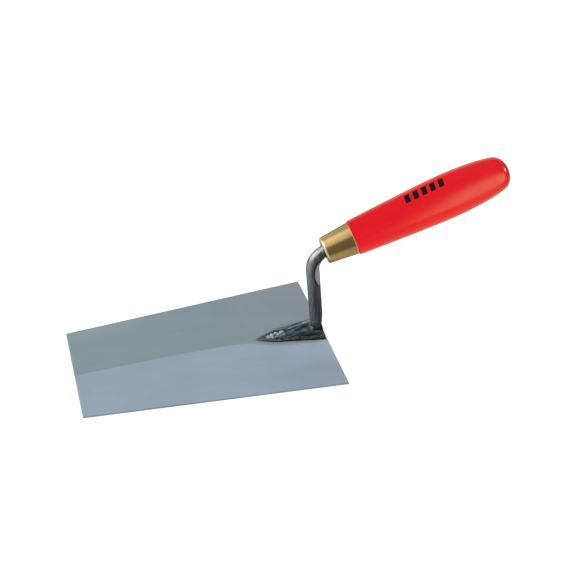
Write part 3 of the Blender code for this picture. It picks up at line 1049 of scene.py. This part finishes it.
def apron_rings(shape, rows=30, columns=20):
    """The thin tongue of weld metal under the lumps, out to the spear's tip."""
    rings = []
    length = NOSE_LENGTH + APRON_LAP
    for station in np.linspace(APRON_START, length, rows):
        x = TIP_X + station
        left, right = half_width_at(station, 1), half_width_at(station, -1)
        height = APRON_TIP_HEIGHT + APRON_HEIGHT * sin(min(1.0, station / length) * pi / 2)
        under = shape.top(x, right) - SINK
        ring = [(x, left, under), (x, -right, under)]
        for i in range(columns + 1):
            turn = pi * (1 - i / columns)
            half = left if cos(turn) > 0 else right
            crown = APRON_RIM + height * sin(turn) ** APRON_POWER
            ring.append((x, half * cos(turn), shape.top(x, half) + crown))
        rings.append(ring)
    return rings


def weld_bead(name, parts, *unevenness):
    points, edges, faces = remeshed(name, parts, WELD_VOXEL)
    points = relax(points, edges, 0.5, 2)
    normals = point_normals(points, faces)
    for waves in unevenness:
        points = rumple(points, normals, *waves)
    return mesh_piece(name, points, faces, weld_metal(), 180), points


def make_toe_weld(shape):
    """The spear's tip: an apron of metal on the blade, with the lumps of the last beads piled on it."""
    parts = [loft(apron_rings(shape))]
    parts += [lump(shape, *sizes) for sizes in (*BRIGHT_LUMPS, *DULL_LUMPS)]
    weld, points = weld_bead("toe_weld_bead", parts, BEAD_LUMPS, BEAD_GRAIN)
    tip = fall(points[:, 0], 47, 52)
    rim = [half_width_at(max(0.0, x - TIP_X), y) - abs(y) for x, y, _ in points]
    set_attributes(
        weld,
        bead=bright_share(points) * rise(from_pit(points), 0.5, 1.1),
        olive=tip,
        blued=0.6 * rise(points[:, 0], 60, 64),
        inside_rim=np.maximum(tip, rise(np.array(rim), 0.2, 0.9)),
    )
    show_as(weld, "toe_weld")


def bright_share(points):
    """1 on the bright lumps seen from above, where a highlight is painted."""
    bright = np.zeros(len(points))
    for x, y, _, long, wide, _ in BRIGHT_LUMPS:
        away = np.hypot((points[:, 0] / MM - x) / long, (points[:, 1] / MM - y) / wide)
        bright = np.maximum(bright, 1 - smooth_step(away, 0.6, 1.6))
    return bright


def seam_ring(shape, station, side, columns=12):
    """A slice of a fillet weld up one flank of the foot, laid in short overlapping runs."""
    x = TIP_X + station
    ripple = SEAM_RIPPLE * abs(sin(station / SEAM_RIPPLE_LENGTH))
    outer = half_width_at(station, side) + ripple
    if side < 0:
        outer += RIGHT_SEAM_SKEW * (station - SEAM_PIVOT)
    inner = outer - SEAM_WIDTH * SEAM_LAP
    base = shape.top(x, outer)
    ring = [(outer, base - SINK), (inner, base - SINK)]
    for i in range(columns + 1):
        share = i / columns
        crown = SEAM_RISE * (1 - share**SEAM_POWER) + ripple * sin(share * pi)
        ring.append((inner + (outer - inner) * share, base + SEAM_RIM + crown))
    ring = [Vector((x, side * y, z)) for y, z in ring]
    return ring if side > 0 else ring[::-1]


def make_seam_weld(shape, name, node, side):
    stations = np.linspace(SEAM_START, SEAM_END, SEAM_ROWS)
    rings = [seam_ring(shape, station, side) for station in stations]
    scale, depth, seed = SEAM_RUNS
    weld, points = weld_bead(name, [loft(rings)], (scale, depth, seed + side))
    rim = [half_width_at(x - TIP_X, side) - abs(y) for x, y, _ in points]
    set_attributes(
        weld,
        bead=0.0,
        olive=0.0,
        # The far seam's blue is a painted reflection of the sky.
        blued=0.85 if side > 0 else 0.0,
        inside_rim=rise(np.array(rim), 0.1, 0.8),
    )
    show_as(weld, node)


# ---- ferrule and handle


class TurnedShape:
    """The handle axis and the turned profiles, read from the CAD ferrule and handle."""

    def __init__(self):
        cup = world_points("ferrule")
        grip = world_points("handle")
        middle = cup.mean(0)
        middle[1] = 0
        butt = grip[np.argmax(np.linalg.norm(grip - middle, axis=1))]
        self.axis = (butt - middle) / np.linalg.norm(butt - middle)
        self.start = middle + self.axis * ((cup - middle) @ self.axis).min()
        self.tilt = atan2(self.axis[2], self.axis[0])
        self.cup = self.outline(cup)
        self.shoulder = self.cup[-1][0]
        self.grip = self.outline(grip) * (GRIP_LENGTHENING, 1.0)
        self.length = self.grip[-1][0]

    def outline(self, points):
        """The widest radius at each station along the axis, a little enlarged: rows of (station, radius)."""
        stations = (points - self.start) @ self.axis
        radii = np.linalg.norm(points - self.start - np.outer(stations, self.axis), axis=1)
        widest = {}
        for station, radius in zip(stations.round(5), radii * GRIP_FULLNESS):
            widest[station] = max(radius, widest.get(station, 0.0))
        return np.array(sorted(widest.items()))

    def matrix(self):
        x = Vector(self.axis)
        y = Vector((0, 1, 0))
        place = Vector(self.start) - Vector((0, 0, GRIP_DROP))
        return Matrix.Translation(place) @ Matrix((x, y, x.cross(y))).transposed().to_4x4()


def turned(profile, segments=144):
    """Points and faces of a solid of revolution about local X. A radius of 0 at either end is a pole."""
    points, rows, faces = [], [], []
    for station, radius in profile:
        turns = [2 * pi * i / segments for i in range(segments if radius else 1)]
        rows.append([len(points) + i % len(turns) for i in range(segments + 1)])
        points += [(station, radius * cos(turn), radius * sin(turn)) for turn in turns]
    if profile[0][1] > 0:
        rows.append(rows[0])
    for a, b in zip(rows, rows[1:]):
        corners = [(a[i], b[i], b[i + 1], a[i + 1]) for i in range(segments)]
        faces += [tuple(dict.fromkeys(four)) for four in corners]  # at a pole two of the four are one
    return points, faces


def arc(centre, radius, first, last, steps):
    """Points on a circle, from one angle in degrees to another."""
    turns = np.radians(np.linspace(first, last, steps + 1))
    return [(centre[0] + radius * cos(t), centre[1] + radius * sin(t)) for t in turns]


def cup_profile(cup):
    """The thin wall of a conical cup, its shoulder, lip and rear edge rounded."""
    rear, rear_radius = cup[-1]
    front_radius = np.interp(FERRULE_SHOULDER, *cup[-2:].T)
    slope = (rear_radius - front_radius) / (rear - FERRULE_SHOULDER)
    shoulder = (FERRULE_SHOULDER, front_radius - FERRULE_SHOULDER)
    rim = (rear - FERRULE_EDGE, rear_radius - FERRULE_EDGE)
    stations = np.linspace(FERRULE_SHOULDER, rear - FERRULE_EDGE, 40)[1:]
    return [
        (FERRULE_WALL, FERRULE_HOLE + FERRULE_HOLE_FLARE),
        *arc((FERRULE_LIP, FERRULE_HOLE + FERRULE_LIP), FERRULE_LIP, 270, 180, 4),
        *arc(shoulder, FERRULE_SHOULDER, 180, 95, 14),
        *[(station, front_radius + slope * (station - FERRULE_SHOULDER)) for station in stations],
        *arc(rim, FERRULE_EDGE, 84, 0, 6),
        (rear, rear_radius - FERRULE_WALL),
        (FERRULE_SHOULDER, front_radius - FERRULE_WALL),
        *arc(shoulder, FERRULE_SHOULDER - FERRULE_WALL, 100, 180, 6),
    ]


def make_ferrule(shape):
    """The brass cup, stretched a little at its front."""
    length = shape.cup[-1][0]
    profile = [(x - FERRULE_REACH * (1 - x / length), radius) for x, radius in cup_profile(shape.cup)]
    ferrule = mesh_piece("ferrule_cup", *turned(profile), brass(length), 45, shape.matrix())
    show_as(ferrule, "ferrule")


def grip_line(shape):
    """The handle's visible outline from the shoulder to the butt's pole, without the points of the spigot."""
    outer = shape.grip[shape.grip[:, 0] > shape.shoulder]
    on_skin = (outer[:, 1] > SPIGOT_REACH) | (outer[:, 0] > 0.8 * outer[-1, 0])
    outer = outer[on_skin]
    outer[-1, 1] = 0
    mirrored = (outer[-2, 0], -outer[-2, 1])
    return smooth_line(outer, 5, mirrored)


def make_handle(shape):
    line = grip_line(shape)
    front = shape.grip[0, 0]
    body = line[line[:, 0] > line[0][0] + SHOULDER_ROUNDING]
    start, radius = body[0]
    corner = arc((start, radius - SHOULDER_ROUNDING), SHOULDER_ROUNDING, 180, 94, 8)
    inner = shape.cup[-1][1] - SPIGOT_GAP
    profile = [(front, 0.0), (front, SPIGOT_TIP), (start - SHOULDER_ROUNDING, inner), *corner]
    profile += [tuple(p) for p in body[:-1]] + [(body[-1][0], 0.0)]
    handle = mesh_piece("handle_grip", *turned(profile), red_lacquer(shape.length), 60, shape.matrix())
    show_as(handle, "handle")
    return handle, line


def bar_row(line, start, width, across, skin, columns):
    """A row of points along one printed bar, on one of its two skins. Across runs from -0.5 to 0.5."""
    row = []
    for column in columns:
        station = start + width * column + MARK_SLANT * across
        radius = float(np.interp(station, *line.T))
        turn = MARK_ANGLE - across * MARK_ARC / radius
        reach = radius + skin
        row.append((station, reach * cos(turn), reach * sin(turn)))
    return row


def make_mark(shape, line):
    """Slanted bars printed on the grip."""
    pitch = MARK_LENGTH / (MARK_BARS - 1 + MARK_BAR_SHARE)
    width = pitch * MARK_BAR_SHARE
    rows, columns = (np.linspace(0, 1, steps + 1) for steps in MARK_GRID)
    under, over = MARK_SKINS
    bars = []
    for bar in range(MARK_BARS):
        start = line[0][0] + MARK_START + bar * pitch
        rings = []
        for across in rows - 0.5:
            ring = bar_row(line, start, width, across, over, reversed(columns))
            rings.append(ring + bar_row(line, start, width, across, under, columns))
        bars.append(loft(rings))
    mark = mesh_piece("handle_mark", *joined(bars), black_ink(), 40, shape.matrix())
    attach(mark, BODY)


# ---- studio


def camera_turn():
    heading = Matrix.Rotation(CAMERA_AZIMUTH, 4, "Z")
    pitch = Matrix.Rotation(pi / 2 - CAMERA_ELEVATION, 4, "X")
    return heading @ pitch @ Matrix.Rotation(CAMERA_ROLL, 4, "Z")


def make_camera():
    data = bpy.data.cameras.new("camera")
    data.lens = CAMERA_LENS
    data.sensor_width = SENSOR_WIDTH
    data.clip_start, data.clip_end = 0.01, 20
    camera = bpy.data.objects.new("camera", data)
    turn = camera_turn()
    camera.matrix_world = Matrix.Translation(CAMERA_TARGET + turn.col[2].xyz * CAMERA_DISTANCE) @ turn
    bpy.context.scene.collection.objects.link(camera)
    bpy.context.scene.camera = camera


def along(ray, towards):
    """How far a ray points towards a direction: 1 straight at it, -1 straight away."""
    inputs = {0: ray, 1: Vector(towards).normalized()}
    return beside([ray], "VectorMath", inputs, operation="DOT_PRODUCT").outputs["Value"]


def soft_box(ray, towards, low, high, strength):
    return span(along(ray, towards), low, high, 0.0, strength)


def make_world():
    """Even white light for matt surfaces. Shiny ones see a studio: a soft box overhead, another low on the
    left, a pale far wall and a dark room behind the camera."""
    world = bpy.data.worlds.new("studio")
    bpy.context.scene.world = world
    world.use_nodes = True
    tree = world.node_tree
    tree.nodes.clear()
    ray = add(tree, "TexCoord").outputs["Generated"]
    to_camera = camera_turn().col[2]
    room = span(along(ray, (to_camera.x, to_camera.y, 0)), -0.4, 0.45, FAR_WALL, DARK_ROOM)
    glow = total(room, soft_box(ray, *OVERHEAD_BOX), soft_box(ray, *LEFT_BOX))
    even = add(tree, "Background", {"Color": (1.0, 1.0, 1.0), "Strength": EVEN_LIGHT})
    studio = add(tree, "Background", {"Color": (1.0, 1.0, 1.0), "Strength": glow})
    output = add(tree, "OutputWorld")
    tree.links.new(mirrored_choice(tree, even, studio), output.inputs["Surface"])
    world.cycles.sampling_method = "NONE"


def lacquer_light(name, receivers, place, towards, size, power, colour):
    """A panel that faces a point and shows only as a reflection in the lacquer."""
    data = bpy.data.lights.new(name, "AREA")
    data.shape = "RECTANGLE"
    data.size, data.size_y = size
    data.color = colour
    data.energy = power
    light = bpy.data.objects.new(name, data)
    facing = (place - towards).to_track_quat("Z", "Y").to_matrix().to_4x4()
    light.matrix_world = Matrix.Translation(place) @ facing
    light.visible_diffuse = False
    light.visible_camera = False
    bpy.context.scene.collection.objects.link(light)
    light.light_linking.receiver_collection = receivers


def make_lacquer_lights(shape, handle):
    """A panel standing upright beside the camera, for the soft band along the lacquer, and a small bright
    lamp on the right, for the glint on the butt."""
    receivers = bpy.data.collections.new("lacquer")
    receivers.objects.link(handle)
    level = Vector((PANEL_PLACE.x, 0.0, PANEL_PLACE.z))
    lacquer_light("band_panel", receivers, PANEL_PLACE, level, *PANEL)
    butt = Vector(shape.start) + Vector(shape.axis) * shape.length
    lacquer_light("glint_lamp", receivers, butt + GLINT_OFFSET, butt, *GLINT_LAMP)


def make_floor():
    corners = [(-1, -1), (1, -1), (1, 1), (-1, 1)]
    points = [(x * FLOOR_REACH, y * FLOOR_REACH, -FLOOR_DROP) for x, y in corners]
    floor = mesh_piece("floor", points, [(0, 1, 2, 3)], pale_floor())


def main():
    blade = make_blade()
    axis = TurnedShape()
    make_neck(blade, axis.tilt)
    make_toe_weld(blade)
    make_seam_weld(blade, "seam_bead_left", "seam_weld_left", 1)
    make_seam_weld(blade, "seam_bead_right", "seam_weld_right", -1)
    make_ferrule(axis)
    handle, line = make_handle(axis)
    make_mark(axis, line)
    make_floor()
    make_world()
    make_lacquer_lights(axis, handle)
    make_camera()
    bpy.context.scene.view_settings.view_transform = "Standard"


main()
